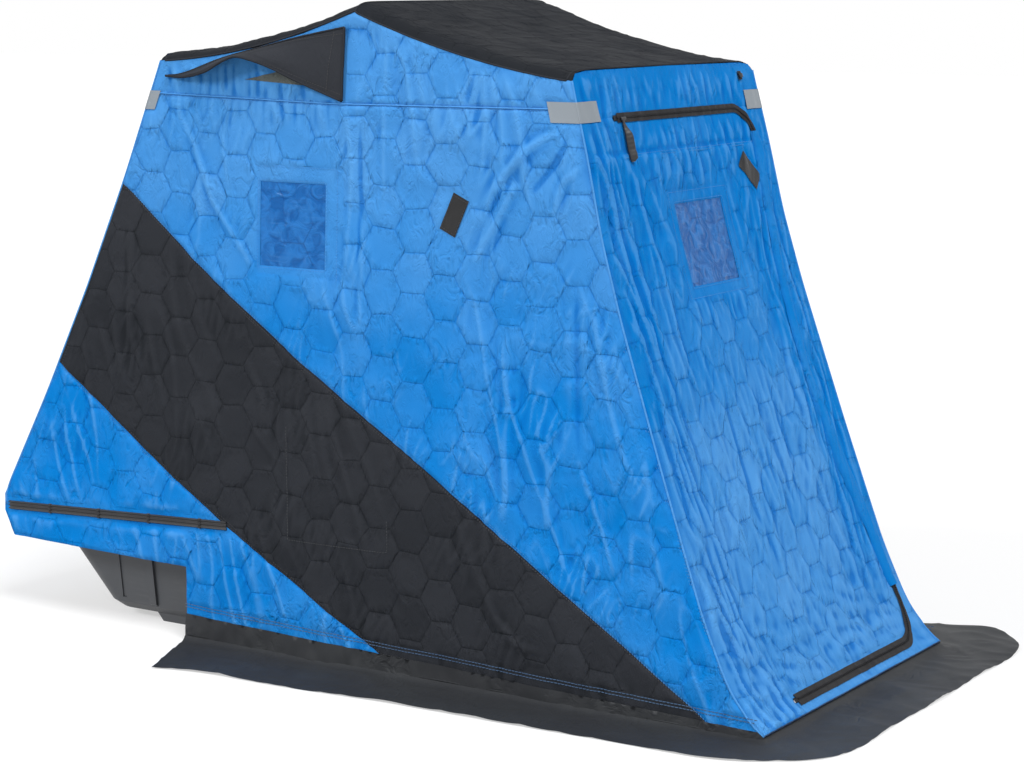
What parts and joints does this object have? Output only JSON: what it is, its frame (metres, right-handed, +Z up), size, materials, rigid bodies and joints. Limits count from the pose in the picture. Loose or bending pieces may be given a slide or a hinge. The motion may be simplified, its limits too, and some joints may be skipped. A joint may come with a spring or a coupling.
{
  "type": "ice fishing hut",
  "caption": "Flip-over ice fishing hut: a quilted cloth shelter with a zipped door, stretched on a fan of bent tube bows over a moulded tub sled.",
  "frame": {"origin": "middle of the ground footprint, where the sled's runners and the skirt lie", "axes": "+X towards the door, +Y towards the side that the picture hides, +Z up"},
  "size_m": [2.6209, 1.5814, 1.718],
  "materials": {
    "quilted_blue_cloth": "quilted nylon, soft sheen",
    "black_cloth": "woven polyester, matt",
    "skirt_cloth": "plain woven cloth, slightly shiny",
    "vent_mesh": "fine mesh",
    "clear_vinyl": "clear flexible vinyl, a little wavy",
    "reflective_tape": "sewn reflective tape",
    "zip_tape": "zip coil and tape",
    "hook_and_loop": "hook and loop patch",
    "sled_plastic": "moulded polyethylene, satin",
    "frame_tube": "black powder coat",
    "bracket_steel": "black powder coat",
    "band_plastic": "ridged plastic strip"
  },
  "bodies": {
    "hut": {"corner_reflectors": "reflective_tape", "edge_band": "band_plastic", "frame_zip_tape": "zip_tape", "front_bow": "frame_tube", "front_header": "quilted_blue_cloth", "front_sill": "quilted_blue_cloth", "front_strip_left": "quilted_blue_cloth", "front_strip_right": "quilted_blue_cloth", "ground_bow": "frame_tube", "middle_bow": "frame_tube", "pivot_bracket_left": "bracket_steel", "pivot_bracket_right": "bracket_steel", "rear_bow": "frame_tube", "rear_header": "quilted_blue_cloth", "rear_valance": "quilted_blue_cloth", "rear_wall": "quilted_blue_cloth", "roof_clip": "band_plastic", "roof_front": "black_cloth", "roof_rear": "black_cloth", "side_header_left": "quilted_blue_cloth", "side_header_right": "quilted_blue_cloth", "side_hook_patch": "hook_and_loop", "side_lower_panel_left": "quilted_blue_cloth", "side_lower_panel_right": "quilted_blue_cloth", "side_panel_left": "quilted_blue_cloth", "side_panel_right": "quilted_blue_cloth", "side_sash_left": "black_cloth", "side_sash_right": "black_cloth", "side_valance_left": "quilted_blue_cloth", "side_valance_right": "quilted_blue_cloth", "side_window_left": "clear_vinyl", "side_window_right": "clear_vinyl", "skirt_front": "skirt_cloth", "skirt_left": "skirt_cloth", "skirt_right": "skirt_cloth", "sled_hull": "sled_plastic", "vent_hood_left": "black_cloth", "vent_hood_right": "black_cloth", "vent_mesh_left": "vent_mesh", "vent_mesh_right": "vent_mesh"},
    "door": {"door_panel": "quilted_blue_cloth", "door_window": "clear_vinyl", "door_zip_tape": "zip_tape", "door_hook_patch": "hook_and_loop", "zip_pull": "zip_tape"}
  },
  "joints": [
    {"name": "door_hinge", "type": "hinge", "parent": "hut", "child": "door", "pos_m": [0.5697, -0.322, 1.44], "axis": [0.3436, 0.0202, -0.9389], "range_deg": [0, 160]}
  ]
}
